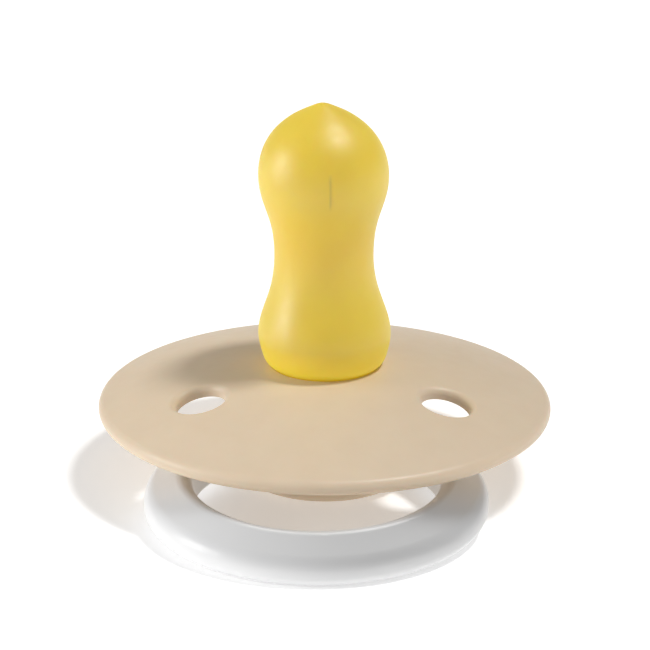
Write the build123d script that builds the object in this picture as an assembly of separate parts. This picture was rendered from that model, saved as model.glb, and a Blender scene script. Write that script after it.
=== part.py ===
from build123d import *
import os
from math import asin, atan2, degrees, hypot, sqrt

# Baby pacifier with a round crowned shield, a hollow latex teat and a ring handle that swings on a bar.
# Millimetres.  +Z is the teat's axis, pointing at its tip.  The origin is the centre of the knob's flat
# back face, the face that the pacifier stands on.  The ring lies towards -Y and swings about X.

# ---- Driving dimensions ----

# Shield: a shallow dome that bulges towards the teat, with a rounded rim
shield_radius = 22.5
crown_height = 12.3             # top of the dome above the table
rim_mid_height = 7.48           # middle of the rounded rim above the table
rim_radius = 0.82
shield_wall = 0.85              # at the crown; the plate thickens to the full round at its rim
teat_hole_radius = 5.25
teat_hole_edge = 0.3
seat_height = 10.2              # flat face behind the shield that the teat's bead is pulled against

# Vents: round holes on one circle, with softened front edges
vent_radius = 2.45
vent_circle_radius = 13.85
vent_count = 3
first_vent_angle = 92.4         # degrees from +X: the pattern is turned slightly against the ring
vent_edge = 0.62

# Collar: the short tube on the shield's back that the knob plugs into
collar_radius = 8.8
collar_bore = 7.3
collar_bottom = 6.5
snap_height = 6.95              # middle of the snap ridge and its groove
snap_depth = 0.2
seam_edge = 0.22                # bevels that leave a fine groove where the collar meets the knob

# Teat: (outer radius, height above the crown), from just above the shield to near the tip
teat_stations = [(5.75, 0.05), (6.25, 1.1), (6.57, 2.7), (5.46, 7.2), (4.9, 11.6), (5.28, 14.5),
                 (6.2, 17.5), (6.43, 19.3), (5.6, 22.7), (3.04, 25.3), (1.2, 26.3)]
teat_length = 26.7
teat_wall = 1.25
tip_wall = 1.6
waist_radius = 5.2              # where the teat passes through the shield
waist_top = 12.0
bead_radius = 7.2
bead_bottom = 8.7
bead_edge = 0.4

# Core plug: the stem that holds the teat's neck open and the flange that clamps its bead
stem_radius = 3.85
stem_clearance = 0.06           # between the stem and the teat's mouth
stem_top = 14.3
stem_bore = 2.2
stem_floor = 8.0
flange_radius = 7.2
flange_bottom = 7.6
stem_edge = 0.6

# Knob: the round button on the back
knob_edge = 2.0
spigot_radius = 7.2
core_radius = 5.7               # the knob is cored out inside this radius
core_floor = 1.8
bearing_wall = 1.4              # plastic left each side of the bar's slot

# Ring handle: its band is a wedge on a flat underside, high at the inside and low at the outside
ring_radius = 16.85
ring_width = 4.75
ring_inner_height = 5.15        # above the underside, to the corners that the rounds take off
ring_outer_height = 2.6
inner_foot_round = 0.5
inner_top_round = 1.15
outer_foot_round = 1.2
outer_top_round = 1.9

# Hinge: the bar across the ring, and the round knuckles at its ends
hinge_y = -1.5
hinge_height = 3.95
hinge_to_ring_centre = 11.0
hinge_to_underside = 2.4
knuckle_radius = 2.4
knuckle_end = 12.2              # distance of the knuckles' outer faces from the middle
bar_radius = 1.6
bar_clearance = 0.06
shoulder_gap = 0.35             # between the knob's side and the ring's shoulders
shoulder_edge = 0.5

# ---- Worked-out dimensions ----

rim_centre_radius = shield_radius - rim_radius
slot_radius = bar_radius + bar_clearance
shoulder_x = collar_radius + shoulder_gap

# The resting ring is tipped until the round of its front lower edge touches the table
front_reach = hinge_to_ring_centre + ring_radius - outer_foot_round
front_drop = hinge_to_underside - outer_foot_round
touch_angle = asin((hinge_height - outer_foot_round) / hypot(front_reach, front_drop))
rest_tilt = degrees(touch_angle - atan2(front_drop, front_reach))


def lathe(*edges):
    """Turn a closed outline, drawn as (radius, height), about the Z axis."""
    return revolve(Plane.XZ * make_face(edges), Axis.Z)


def drum(radius, bottom, top):
    """Upright cylinder between two heights."""
    return Pos(0, 0, bottom) * Cylinder(radius, top - bottom, align=(Align.CENTER, Align.CENTER, Align.MIN))


def slab(x_range, y_range, z_range):
    """Box between two corners."""
    ranges = (x_range, y_range, z_range)
    sizes = [high - low for low, high in ranges]
    centre = [(high + low) / 2 for low, high in ranges]
    return Pos(*centre) * Box(*sizes)


def bar_along_x(radius, half_length):
    """Round bar on the hinge axis."""
    return Pos(0, hinge_y, hinge_height) * Rot(0, 90, 0) * Cylinder(radius, 2 * half_length)


def dome_radius(apex_height, side):
    """Radius of the dome that is tangent to the rim's round: side is 1 for the front, -1 for the back."""
    rise = apex_height - rim_mid_height
    return (rim_centre_radius**2 + rise**2 - rim_radius**2) / (2 * (rise - side * rim_radius))


def dome_point(apex_height, radius, at):
    """Point of a dome's section at distance `at` from the Z axis."""
    return (at, apex_height - radius + sqrt(radius**2 - at**2))


def rim_tangent(apex_height, radius, side):
    """Point where a dome meets the rim's round without a kink."""
    centre_distance = radius - side * rim_radius
    lean_r = rim_centre_radius / centre_distance
    lean_z = (rim_mid_height - (apex_height - radius)) / centre_distance
    return (rim_centre_radius + side * rim_radius * lean_r, rim_mid_height + side * rim_radius * lean_z)


def make_shield():
    """Crowned plate with vents, the teat's hole and the collar, moulded in one."""
    back_apex = crown_height - shield_wall
    front = dome_radius(crown_height, 1)
    back = dome_radius(back_apex, -1)
    front_rim = rim_tangent(crown_height, front, 1)
    back_rim = rim_tangent(back_apex, back, -1)
    hole_top = dome_point(crown_height, front, teat_hole_radius)
    collar_top = dome_point(back_apex, back, collar_radius)
    groove_radius = collar_bore + snap_depth
    plate = lathe(
        ThreePointArc(hole_top, dome_point(crown_height, front, shield_radius / 2), front_rim),
        ThreePointArc(front_rim, (shield_radius, rim_mid_height), back_rim),
        ThreePointArc(back_rim, dome_point(back_apex, back, shield_radius / 2), collar_top),
        Polyline(
            collar_top,
            (collar_radius, collar_bottom + seam_edge),
            (collar_radius - seam_edge, collar_bottom),
            (collar_bore, collar_bottom),
            (collar_bore, snap_height - snap_depth),
            (groove_radius, snap_height),
            (collar_bore, snap_height + snap_depth),
            (collar_bore, seat_height),
            (teat_hole_radius, seat_height),
            hole_top,
        ),
    )
    rims = plate.edges().filter_by(GeomType.CIRCLE).sort_by(lambda edge: near(edge, hole_top))
    plate = fillet(rims[0], teat_hole_edge)
    for vent in PolarLocations(vent_circle_radius, vent_count, first_vent_angle):
        plate -= vent * Cylinder(vent_radius, 4 * crown_height)
    return fillet(vent_front_edges(plate, front), vent_edge)


def near(edge, section_point):
    """Distance of an edge about Z from a point of the section."""
    centre = edge.center(CenterOf.BOUNDING_BOX)
    return abs(edge.radius - section_point[0]) + abs(centre.Z - section_point[1])


def vent_front_edges(plate, front):
    """The edges where the vents open through the front of the dome."""
    front_centre = Vector(0, 0, crown_height - front)
    edges = []
    for edge in plate.edges():
        middle = edge.position_at(0.5)
        on_front = abs((middle - front_centre).length - front) < 0.01
        in_vent_band = abs(hypot(middle.X, middle.Y) - vent_circle_radius) <= vent_radius + 0.01
        if on_front and in_vent_band:
            edges.append(edge)
    return edges


def inside(stations, wall):
    """The stations between the first and the last, moved square to the outline by the wall's width."""
    moved = []
    for before, here, after in zip(stations, stations[1:], stations[2:]):
        run = (after[0] - before[0], after[1] - before[1])
        length = hypot(*run)
        moved.append((here[0] - wall * run[1] / length, here[1] + wall * run[0] / length))
    return moved


def make_teat():
    """Hollow teat: round bulb, neck, flared base, a waist through the shield and a bead behind it."""
    tip = (0, crown_height + teat_length)
    hollow_tip = (0, crown_height + teat_length - tip_wall)
    skin = [(radius, crown_height + height) for radius, height in teat_stations]
    lining = inside(skin, teat_wall)[1:]
    lining.reverse()
    mouth_radius = stem_radius + stem_clearance
    waist = (waist_radius, waist_top)
    lining_start = (mouth_radius, waist_top)
    teat = lathe(
        Spline(waist, *skin, tip, tangents=((0.6, 0.8), (-1, 0)), tangent_scalars=(1, 1)),
        Polyline(tip, hollow_tip),
        Spline(hollow_tip, *lining, lining_start, tangents=((1, 0), (0, -1)), tangent_scalars=(1, 1)),
        Polyline(
            lining_start,
            (mouth_radius, bead_bottom),
            (bead_radius, bead_bottom),
            (bead_radius, seat_height),
            (waist_radius, seat_height),
            waist,
        ),
    )
    circles = teat.edges().filter_by(GeomType.CIRCLE)
    return fillet(circles.filter_by(lambda edge: abs(edge.radius - bead_radius) < 0.01), bead_edge)


def make_core_plug():
    """Hollow stem inside the teat's neck, a clamping flange and the rib that shuts the bar in."""
    stem = drum(stem_radius, flange_bottom, stem_top)
    stem = fillet(stem.edges().group_by(Axis.Z)[-1], stem_edge)
    flange = drum(flange_radius, flange_bottom, bead_bottom)
    rib_bottom = hinge_height + slot_radius
    rib_y = (hinge_y - bar_radius, hinge_y + bar_radius)
    lower_rib = slab((-collar_radius, collar_radius), rib_y, (rib_bottom, collar_bottom))
    lower_rib &= make_button()
    upper_rib = slab((-flange_radius, flange_radius), rib_y, (collar_bottom, flange_bottom))
    upper_rib &= drum(spigot_radius, 0, crown_height)
    return stem + flange + lower_rib + upper_rib - drum(stem_bore, stem_floor, stem_top)


def make_button():
    """Outer form of the knob below the collar."""
    button = drum(collar_radius, 0, collar_bottom)
    button = fillet(button.edges().group_by(Axis.Z)[0], knob_edge)
    return chamfer(button.edges().group_by(Axis.Z)[-1], seam_edge)


def make_knob():
    """Round button with a flat back, a spigot that snaps into the collar and a slot for the bar."""
    knob = make_button() + lathe(
        Polyline(
            (0, collar_bottom - 1),
            (spigot_radius, collar_bottom - 1),
            (spigot_radius, snap_height - snap_depth),
            (spigot_radius + snap_depth, snap_height),
            (spigot_radius, snap_height + snap_depth),
            (spigot_radius, flange_bottom),
            (0, flange_bottom),
            (0, collar_bottom - 1),
        )
    )
    hollow = drum(core_radius, core_floor, flange_bottom)
    bearing = slot_radius + bearing_wall
    bearing_y = (hinge_y - bearing, hinge_y + bearing)
    hollow -= slab((-collar_radius, collar_radius), bearing_y, (0, crown_height))
    slot_y = (hinge_y - slot_radius, hinge_y + slot_radius)
    slot = slab((-shield_radius, shield_radius), slot_y, (hinge_height, crown_height))
    return knob - hollow - slot - bar_along_x(slot_radius, shield_radius)


def band_section():
    """Wedge section of the ring's band, drawn as (distance from the ring's centre, height)."""
    ring_bore = ring_radius - ring_width
    corners = [
        (ring_bore, 0, inner_foot_round),
        (ring_radius, 0, outer_foot_round),
        (ring_radius, ring_outer_height, outer_top_round),
        (ring_bore, ring_inner_height, inner_top_round),
    ]
    section = make_face(Polyline(*[(radius, height) for radius, height, _ in corners], close=True))
    for radius, height, corner_round in corners:
        corner = section.vertices().sort_by_distance((radius, height, 0))[0]
        section = fillet(corner, corner_round)
    return Pos(0, -hinge_to_underside) * section


def make_ring():
    """Round handle whose wedge-shaped band ends in two knuckles beside the knob, and the hinge bar."""
    band = revolve(Plane.XZ * band_section(), Axis.Z)
    band = Pos(0, hinge_y - hinge_to_ring_centre, hinge_height) * band
    knob_side = (hinge_y - hinge_to_ring_centre / 2, hinge_y + ring_radius)
    whole_height = (-crown_height, crown_height)
    band -= slab((-shoulder_x, shoulder_x), knob_side, whole_height)
    band -= slab((-ring_radius, ring_radius), (hinge_y, hinge_y + ring_radius), whole_height)
    band = fillet(shoulder_edges(band), shoulder_edge)
    knuckles = bar_along_x(knuckle_radius, knuckle_end) - bar_along_x(2 * knuckle_radius, shoulder_x)
    knuckles = fillet(knuckles.edges().filter_by(GeomType.CIRCLE), shoulder_edge)
    ring = band + knuckles + bar_along_x(bar_radius, shoulder_x + bar_radius)
    hinge_axis = Axis((0, hinge_y, hinge_height), (1, 0, 0))
    return ring.rotate(hinge_axis, rest_tilt)


def shoulder_edges(band):
    """Edges of the flat faces that look at the knob's two sides, without those that meet the knuckles."""
    shoulders = band.faces().filter_by(lambda face: abs(abs(face.center().X) - shoulder_x) < 0.01)
    return shoulders.edges().filter_by(lambda edge: edge.center().Y < hinge_y - 0.01)


def main():
    os.makedirs("parts", exist_ok=True)
    pieces = {
        "teat": make_teat(),
        "shield": make_shield(),
        "core_plug": make_core_plug(),
        "knob": make_knob(),
        "ring_handle": make_ring(),
    }
    for node, piece in pieces.items():
        export_step(piece, f"parts/{node}.step")
    print(f"ring tilt at rest: {rest_tilt:.3f} degrees")


main()
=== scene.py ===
import math

import bpy
import numpy as np
from mathutils import Matrix, Vector, noise


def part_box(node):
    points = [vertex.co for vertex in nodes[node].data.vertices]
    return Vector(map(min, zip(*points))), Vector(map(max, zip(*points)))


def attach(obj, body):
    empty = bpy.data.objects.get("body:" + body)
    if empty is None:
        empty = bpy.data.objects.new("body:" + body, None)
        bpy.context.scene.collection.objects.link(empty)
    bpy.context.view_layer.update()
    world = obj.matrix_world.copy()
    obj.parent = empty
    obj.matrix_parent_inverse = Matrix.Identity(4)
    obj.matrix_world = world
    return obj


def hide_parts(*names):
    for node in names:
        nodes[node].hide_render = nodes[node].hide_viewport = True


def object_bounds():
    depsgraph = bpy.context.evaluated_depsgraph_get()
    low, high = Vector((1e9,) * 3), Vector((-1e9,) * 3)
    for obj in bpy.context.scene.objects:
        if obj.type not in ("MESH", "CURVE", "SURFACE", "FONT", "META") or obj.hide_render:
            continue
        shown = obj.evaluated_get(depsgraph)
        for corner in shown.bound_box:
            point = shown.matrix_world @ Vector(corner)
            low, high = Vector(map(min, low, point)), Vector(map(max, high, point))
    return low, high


# A baby pacifier standing on its back knob: translucent latex teat, beige shield and knob, white ring.
# Metres, in the CAD model's frame: +Z up along the teat, the resting ring towards -Y.

MM = 0.001

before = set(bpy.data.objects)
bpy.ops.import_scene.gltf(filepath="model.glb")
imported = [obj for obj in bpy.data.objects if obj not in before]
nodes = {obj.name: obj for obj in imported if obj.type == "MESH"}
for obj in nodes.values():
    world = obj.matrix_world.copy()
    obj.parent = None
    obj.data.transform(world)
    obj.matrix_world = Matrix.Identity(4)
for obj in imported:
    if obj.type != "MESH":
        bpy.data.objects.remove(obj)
cad_bounds = [list(corner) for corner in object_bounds()]

# ---- Where things are, read from the frame ----

teat_low, teat_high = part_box("teat")
shield_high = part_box("shield")[1]

# ---- Teat, in millimetres: (outer radius, height above the shield's crown) ----

TEAT_STATIONS = [(5.75, 0.05), (6.25, 1.1), (6.57, 2.7), (5.46, 7.2), (4.9, 11.6), (5.28, 14.5),
                 (6.2, 17.5), (6.43, 19.3), (5.6, 22.7), (3.04, 25.3), (1.2, 26.3)]
TEAT_LENGTH = 26.7
TEAT_WALL = 1.25
TIP_WALL = 1.6
WAIST = (5.2, -0.3)
MOUTH_RADIUS = 3.91
BEAD_RADIUS = 7.2
BEAD_THICKNESS = 1.5
BEAD_EDGE = 0.4
TEAT_SEGMENTS = 256
TEAT_STEP = 0.14                 # distance between rings of the mesh
AXIS_GAP = 0.02                  # spline samples nearer the axis than this are left out

LEAN = -0.012                    # the soft teat leans this much sideways for each unit of height
UNEVENNESS = 0.035
UNEVENNESS_SCALE = 0.22          # features for each millimetre
UNEVENNESS_SEED = Vector((3.1, 7.7, 1.3))
FOOT_HEIGHT = 0.2                # the teat keeps its exact shape up to here
FOOT_FADE = 1.5                  # and is fully uneven this far above that

CREASE_HEIGHT = 19.5             # middle of the short upright crease on the bulb's front
CREASE_LENGTH = 1.9              # from its middle to each end
CREASE_WIDTH = 0.17
CREASE_DEPTH = 0.12
CREASE_TURN = 6.5                # degrees to the right of the middle of the camera's view
CREASE_INSIDE = 5.2              # only what lies outside this radius is creased, so the lining isn't

# ---- Camera ----

CAMERA_AZIMUTH = 3.45            # degrees, towards +X from straight in front
CAMERA_ELEVATION = 20.29
CAMERA_ROLL = 0.3
CAMERA_DISTANCE = 0.491          # metres from the aim point
CAMERA_LENS = 274.5
SENSOR_WIDTH = 36
AIM_ABOVE_SHIELD = 3.9 * MM      # aim point, above the shield's crown

# ---- Studio ----

FLOOR_HALF = 30.0                # metres, so that the horizon stays out of low views
FLOOR_GAP = 0.02 * MM            # below the lowest point of the object
WHITE = (1.0, 1.0, 1.0, 1.0)

# ---- Latex colours, with painted light at the base and painted shade in the crease; its heights are in millimetres above the shield's crown ----

AMBER_DEEP, AMBER_PALE = (0.54, 0.39, 0.03), (0.61, 0.455, 0.045)
NECK_AMBER = (0.58, 0.39, 0.018, 1.0)
# Painted light: the base is painted a brighter amber, standing in for light that passes through the latex
# there.
PAINTED_BASE_LIGHT = (0.80, 0.58, 0.045, 1.0)
# Painted shade: the crease on the bulb is painted darker, standing in for the shade in its groove.
CREASE_PAINTED_SHADE = (0.43, 0.34, 0.05, 1.0)
GLOW = (0.60, 0.52, 0.02, 1.0)   # light that a hollow translucent teat passes on from all round it
NECK_HEIGHT = 13
PAINTED_LIGHT_TOP = 3


def spline(points, step):
    """Natural cubic spline through the points, by chord length, sampled about every `step`."""
    points = np.array(points, float)
    chords = np.hypot(*np.diff(points, axis=0).T)
    count = len(points)
    system = np.zeros((count, count))
    right = np.zeros((count, 2))
    system[0, 0] = system[-1, -1] = 1.0
    for i in range(1, count - 1):
        before, after = chords[i - 1], chords[i]
        system[i, i - 1:i + 2] = before, 2 * (before + after), after
        right[i] = 6 * ((points[i + 1] - points[i]) / after - (points[i] - points[i - 1]) / before)
    bend = np.linalg.solve(system, right)
    samples = []
    for i, chord in enumerate(chords):
        steps = max(2, round(chord / step))
        for t in np.linspace(0, 1, steps, endpoint=False):
            s = 1 - t
            curve = s * points[i] + t * points[i + 1]
            curve += chord**2 / 6 * ((s**3 - s) * bend[i] + (t**3 - t) * bend[i + 1])
            samples.append(tuple(curve))
    samples.append(tuple(points[-1]))
    return samples


def mirrored(points):
    """The same points across the axis, so that a spline crosses the axis squarely."""
    return [(-radius, height) for radius, height in reversed(points)]


def to_axis(samples):
    """The part of a spline up to the axis, ending exactly on it."""
    kept = [sample for sample in samples if sample[0] > AXIS_GAP]
    tip = min(samples, key=lambda sample: abs(sample[0]))
    return kept + [(0.0, tip[1])]


def inside(stations, wall):
    """The stations between the first and the last, moved square to the outline by the wall's thickness."""
    moved = []
    for before, here, after in zip(stations, stations[1:], stations[2:]):
        run = (after[0] - before[0], after[1] - before[1])
        length = math.hypot(*run)
        moved.append((here[0] - wall * run[1] / length, here[1] + wall * run[0] / length))
    return moved


def rounded_corner(corner, start_angle, radius, steps=5):
    """Quarter round about `corner`, its angles turning up by 90 degrees from start_angle."""
    angles = [math.radians(start_angle + 90 * i / steps) for i in range(steps + 1)]
    return [(corner[0] + radius * math.cos(a), corner[1] + radius * math.sin(a)) for a in angles]


def teat_outline():
    """The hollow teat's section from its inner tip round the bead to its outer tip, in three parts.

    Points are (radius, height above the crown), in millimetres.
    """
    crown = teat_high.z / MM - TEAT_LENGTH
    seat = teat_low.z / MM - crown + BEAD_THICKNESS
    bead_low = seat - BEAD_THICKNESS
    skin = [WAIST] + TEAT_STATIONS
    outer = to_axis(spline(skin + [(0, TEAT_LENGTH)] + mirrored(TEAT_STATIONS[-3:]), TEAT_STEP))
    lining = [(MOUTH_RADIUS, WAIST[1])] + inside(TEAT_STATIONS, TEAT_WALL)
    inner_tip = TEAT_LENGTH - TIP_WALL
    inner = to_axis(spline(lining + [(0, inner_tip)] + mirrored(lining[-3:]), 2 * TEAT_STEP))
    bead_side = BEAD_RADIUS - BEAD_EDGE
    bead = [(MOUTH_RADIUS, bead_low)]
    bead += rounded_corner((bead_side, bead_low + BEAD_EDGE), -90, BEAD_EDGE)
    bead += rounded_corner((bead_side, seat - BEAD_EDGE), 0, BEAD_EDGE)
    bead += [(WAIST[0], seat)]
    return list(reversed(inner)), bead, outer


def lathe_mesh(name, profile, segments, shape=None):
    """Mesh of revolution of an open profile that starts and ends on the axis, in millimetres.

    With `shape`, a function moves each point, still in millimetres, to its final place.
    """
    verts = []
    rings = []
    for radius, height in profile:
        if radius == 0:
            verts.append((0.0, 0.0, height))
            rings.append([len(verts) - 1])
            continue
        ring = []
        for k in range(segments):
            turn = 2 * math.pi * k / segments
            verts.append((radius * math.cos(turn), radius * math.sin(turn), height))
            ring.append(len(verts) - 1)
        rings.append(ring)
    faces = []
    for low, high in zip(rings, rings[1:]):
        for k in range(segments):
            following = (k + 1) % segments
            if len(low) == 1:
                faces.append((low[0], high[following], high[k]))
            elif len(high) == 1:
                faces.append((low[k], low[following], high[0]))
            else:
                faces.append((low[k], low[following], high[following], high[k]))
    mesh = bpy.data.meshes.new(name)
    if shape:
        verts = [shape(Vector(v)) for v in verts]
    mesh.from_pydata([Vector(v) * MM for v in verts], [], faces)
    mesh.polygons.foreach_set("use_smooth", [True] * len(mesh.polygons))
    mesh.update()
    piece = bpy.data.objects.new(name, mesh)
    bpy.context.scene.collection.objects.link(piece)
    return piece


def crease_axes():
    """Level unit vectors: out of the teat through the crease, and square to that."""
    turn = math.radians(CAMERA_AZIMUTH - 90 + CREASE_TURN)
    return Vector((math.cos(turn), math.sin(turn), 0)), Vector((-math.sin(turn), math.cos(turn), 0))


def teat_surface(point):
    """Moves a point of the perfect teat, in millimetres, by a real one's unevenness, lean and crease."""
    crown = teat_high.z / MM - TEAT_LENGTH
    height = point.z - crown
    radius = math.hypot(point.x, point.y)
    if radius < 1e-6 or height < FOOT_HEIGHT:
        return point
    outward = Vector((point.x, point.y, 0)) / radius
    fade = min(1.0, (height - FOOT_HEIGHT) / FOOT_FADE)
    bulge = noise.noise(point * UNEVENNESS_SCALE + UNEVENNESS_SEED)
    moved = point + outward * fade * UNEVENNESS * bulge
    facing, across = crease_axes()
    if point.dot(facing) > 0 and radius > CREASE_INSIDE:
        along = (height - CREASE_HEIGHT) / CREASE_LENGTH
        beside = point.dot(across) / CREASE_WIDTH
        depth = CREASE_DEPTH * math.exp(-beside**2) * max(0.0, 1 - along**4)
        moved -= outward * depth
    moved.x += LEAN * height
    return moved


def make_teat():
    crown = teat_high.z / MM - TEAT_LENGTH
    inner, bead, outer = teat_outline()
    profile = [(radius, crown + height) for radius, height in inner + bead + outer]
    return lathe_mesh("latex_teat", profile, TEAT_SEGMENTS, teat_surface)


# ---- Materials ----


class Surface:
    """A material: one Principled shader fed by procedural nodes."""

    def __init__(self, name, **constants):
        self.material = bpy.data.materials.new(name)
        self.material.use_nodes = True
        self.tree = self.material.node_tree
        self.shader = self.tree.nodes["Principled BSDF"]
        for socket, value in constants.items():
            self.shader.inputs[socket.replace("_", " ")].default_value = value
        self.place = self.tree.nodes.new("ShaderNodeTexCoord").outputs["Object"]

    def node(self, kind, output=0, settings=None, **inputs):
        """Adds a node; inputs are values, or sockets to link from. Returns one of its outputs."""
        made = self.tree.nodes.new(kind)
        for name, value in (settings or {}).items():
            setattr(made, name, value)
        for name, value in inputs.items():
            self.feed(made.inputs[name.replace("_", " ")], value)
        return made.outputs[output]

    def feed(self, socket, value):
        """Links the socket from another socket, or sets it to a value."""
        if isinstance(value, bpy.types.NodeSocket):
            self.tree.links.new(value, socket)
        else:
            socket.default_value = value

    def noise(self, scale, detail=2.0, roughness=0.5):
        """Grey noise; scale is in features per metre."""
        inputs = {"Vector": self.place, "Scale": scale, "Detail": detail, "Roughness": roughness}
        return self.node("ShaderNodeTexNoise", **inputs)

    def ramp(self, value, stops):
        """Colour ramp over `value`; stops are (position, colour)."""
        made = self.tree.nodes.new("ShaderNodeValToRGB")
        elements = made.color_ramp.elements
        while len(elements) < len(stops):
            elements.new(0.5)
        for element, (position, colour) in zip(elements, stops):
            element.position = position
            element.color = (*colour, 1.0)
        self.tree.links.new(value, made.inputs["Fac"])
        return made.outputs["Color"]

    def span(self, value, low, high, to_low, to_high):
        """Maps value from low..high to to_low..to_high, held at the ends."""
        made = self.tree.nodes.new("ShaderNodeMapRange")
        for name, number in zip(("From Min", "From Max", "To Min", "To Max"), (low, high, to_low, to_high)):
            made.inputs[name].default_value = number
        self.tree.links.new(value, made.inputs["Value"])
        return made.outputs["Result"]

    def height(self):
        """Height above the origin, in metres."""
        return self.node("ShaderNodeSeparateXYZ", 2, Vector=self.place)

    def along(self, axis):
        """Distance from the origin along a unit vector, in metres."""
        made = self.tree.nodes.new("ShaderNodeVectorMath")
        made.operation = "DOT_PRODUCT"
        made.inputs[1].default_value = axis
        self.tree.links.new(self.place, made.inputs[0])
        return made.outputs["Value"]

    def near(self, value, centre, full, gone):
        """1 where value is within `full` of the centre, falling to 0 at `gone` from it."""
        offset = self.node("ShaderNodeMath", settings={"operation": "SUBTRACT"}, Value=value)
        offset.node.inputs[1].default_value = centre
        distance = self.node("ShaderNodeMath", settings={"operation": "ABSOLUTE"}, Value=offset)
        return self.span(distance, full, gone, 1.0, 0.0)

    def mix(self, factor, first, second):
        """The first colour where the factor is 0, the second where it is 1."""
        made = self.tree.nodes.new("ShaderNodeMix")
        made.data_type = "RGBA"
        self.feed(made.inputs[0], factor)
        self.feed(made.inputs[6], first)
        self.feed(made.inputs[7], second)
        return made.outputs[2]

    def bump(self, height, distance):
        return self.node("ShaderNodeBump", Height=height, Distance=distance, Strength=1.0)

    def set(self, **sockets):
        """Feeds the shader's own sockets."""
        for name, value in sockets.items():
            self.feed(self.shader.inputs[name.replace("_", " ")], value)


def latex_material():
    """Translucent amber latex: deep at the neck, painted paler at the base as painted light, with painted
    shade in the crease on the bulb and an emitted glow of painted light all over.
    """
    surface = Surface(
        "natural_latex", Subsurface_Weight=1.0, Subsurface_Scale=0.004, Subsurface_Radius=(1.0, 0.55, 0.12),
        IOR=1.5, Specular_IOR_Level=0.95, Emission_Color=GLOW, Emission_Strength=0.30,
    )
    amber = surface.ramp(surface.noise(90, 3), [(0.3, AMBER_DEEP), (0.7, AMBER_PALE)])
    low_z = teat_high.z - TEAT_LENGTH * MM
    neck = surface.near(surface.height(), low_z + NECK_HEIGHT * MM, 0.5 * MM, 5 * MM)
    colour = surface.mix(neck, amber, NECK_AMBER)
    # Painted light: the base is painted a brighter amber, fading out a few millimetres above the crown, for
    # light passing through the latex.
    painted_light_mask = surface.span(surface.height(), low_z, low_z + PAINTED_LIGHT_TOP * MM, 1.0, 0.0)
    colour = surface.mix(painted_light_mask, colour, PAINTED_BASE_LIGHT)
    facing, across = crease_axes()
    crease_z = low_z + CREASE_HEIGHT * MM
    on_front = surface.span(surface.along(facing), 1 * MM, 2 * MM, 0.0, 1.0)
    upright = surface.near(surface.height(), crease_z, 0.6 * CREASE_LENGTH * MM, CREASE_LENGTH * MM)
    sideways = surface.near(surface.along(across), LEAN * CREASE_HEIGHT * MM, 0.02 * MM, 0.2 * MM)
    # Painted shade: the crease on the bulb's front is painted darker where the three masks meet.
    creased = CREASE_PAINTED_SHADE
    for mask in (on_front, upright, sideways):
        creased = surface.mix(mask, colour, creased)
    surface.set(
        Base_Color=creased,
        Roughness=surface.span(surface.noise(700, 3), 0.3, 0.7, 0.43, 0.52),
        Normal=surface.bump(surface.noise(2600, 3), 0.006 * MM),
    )
    return surface.material


def moulded_material(name, colour, shade, mottle, roughness, grain, **constants):
    """Moulded plastic, mottled from shade to colour, with fine grain and a little unevenness in its gloss.

    `mottle` is what noise() takes, `roughness` the least and the most, `grain` its depth in millimetres.
    """
    surface = Surface(name, **constants)
    surface.set(
        Base_Color=surface.ramp(surface.noise(*mottle), [(0.3, shade), (0.7, colour)]),
        Roughness=surface.span(surface.noise(900, 3), 0.3, 0.7, *roughness),
        Normal=surface.bump(surface.noise(2800, 2), grain * MM),
    )
    return surface.material


def paint(obj, material):
    obj.data.materials.clear()
    obj.data.materials.append(material)


# ---- Pieces ----

teat = make_teat()
paint(teat, latex_material())
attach(teat, "body")
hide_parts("teat")

beige = moulded_material(
    "beige_polypropylene", colour=(0.735, 0.595, 0.435), shade=(0.715, 0.575, 0.415),
    mottle=(320, 4, 0.6), roughness=(0.40, 0.48), grain=0.004,
    Subsurface_Weight=0.15, Subsurface_Scale=0.0006, IOR=1.49,
)
white = moulded_material(
    "white_polypropylene", colour=(0.84, 0.84, 0.84), shade=(0.825, 0.825, 0.828),
    mottle=(90, 1), roughness=(0.30, 0.36), grain=0.0015, IOR=1.49,
)
for node in ("shield", "core_plug", "knob"):
    paint(nodes[node], beige)
paint(nodes["ring_handle"], white)


# ---- Lights, camera and floor ----


def direction(azimuth, elevation):
    """Unit vector from the object towards a camera or light; azimuth 0 is straight in front (-Y)."""
    turn, rise = math.radians(azimuth), math.radians(elevation)
    return Vector((math.sin(turn) * math.cos(rise), -math.cos(turn) * math.cos(rise), math.sin(rise)))


def add_light(name, azimuth, elevation, width, height, brightness, aim, distance=1.5, shown=()):
    """Softbox of the given angular size in degrees, which with `shown` lights only those objects.

    At brightness 1 it turns a white surface facing it white.
    """
    lamp = bpy.data.lights.new(name, "AREA")
    lamp.shape = "RECTANGLE"
    lamp.size = 2 * distance * math.tan(math.radians(width / 2))
    lamp.size_y = 2 * distance * math.tan(math.radians(height / 2))
    lamp.energy = brightness * (math.pi * distance)**2
    light = bpy.data.objects.new(name, lamp)
    towards = direction(CAMERA_AZIMUTH + azimuth, elevation)
    light.location = aim + towards * distance
    light.rotation_euler = towards.to_track_quat("Z", "Y").to_euler()
    bpy.context.scene.collection.objects.link(light)
    if shown:
        light.light_linking.receiver_collection = bpy.data.collections.new(name + "_receivers")
        for obj in shown:
            light.light_linking.receiver_collection.objects.link(obj)


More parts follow.
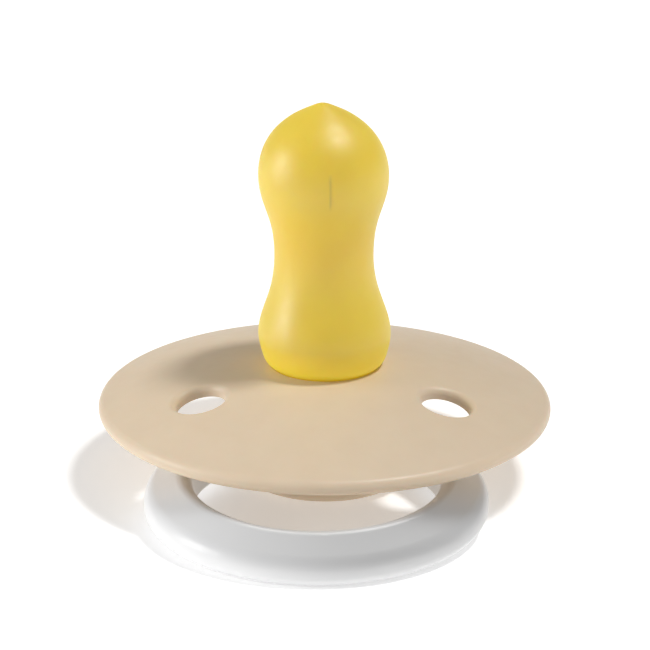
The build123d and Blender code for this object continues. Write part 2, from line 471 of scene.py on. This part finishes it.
def add_camera(aim):
    camera = bpy.data.objects.new("camera", bpy.data.cameras.new("camera"))
    camera.data.lens = CAMERA_LENS
    camera.data.sensor_width = SENSOR_WIDTH
    towards = direction(CAMERA_AZIMUTH, CAMERA_ELEVATION)
    turn = towards.to_track_quat("Z", "Y").to_matrix().to_4x4()
    roll = Matrix.Rotation(math.radians(CAMERA_ROLL), 4, "Z")
    camera.matrix_world = Matrix.Translation(aim + towards * CAMERA_DISTANCE) @ turn @ roll
    bpy.context.scene.collection.objects.link(camera)
    bpy.context.scene.camera = camera


def add_floor():
    corners = [(FLOOR_HALF * x, FLOOR_HALF * y, 0) for x, y in ((-1, -1), (1, -1), (1, 1), (-1, 1))]
    mesh = bpy.data.meshes.new("floor")
    mesh.from_pydata(corners, [], [(0, 1, 2, 3)])
    floor = bpy.data.objects.new("floor", mesh)
    floor.location.z = cad_bounds[0][2] - FLOOR_GAP
    bpy.context.scene.collection.objects.link(floor)
    surface = Surface("pale_floor", Roughness=0.9, Emission_Color=WHITE, Emission_Strength=0.3)
    stops = [(0.0, (0.92, 0.92, 0.92)), (1.0, (0.94, 0.94, 0.94))]
    surface.set(Base_Color=surface.ramp(surface.noise(0.6), stops))
    paint(floor, surface.material)
    return floor


def add_world(strength):
    world = bpy.data.worlds.new("studio")
    world.use_nodes = True
    background = world.node_tree.nodes["Background"]
    background.inputs["Color"].default_value = WHITE
    background.inputs["Strength"].default_value = strength
    bpy.context.scene.world = world


aim = Vector((0, 0, shield_high.z + AIM_ABOVE_SHIELD))
add_camera(aim)
floor = add_floor()
# The small key draws sharp highlights and shadows. The ring has a large soft light of its own instead.
body_set = (teat, floor, nodes["shield"], nodes["core_plug"], nodes["knob"])
add_light("key_overhead", 83, 68, 9, 9, 0.57, aim, shown=body_set)
add_light("left_softbox", -83, 9, 26, 34, 0.72, aim)
add_light("ring_overhead", 172, 54, 30, 24, 0.62, aim, shown=(nodes["ring_handle"],))
add_world(0.30)
bpy.context.scene.view_settings.view_transform = "Standard"
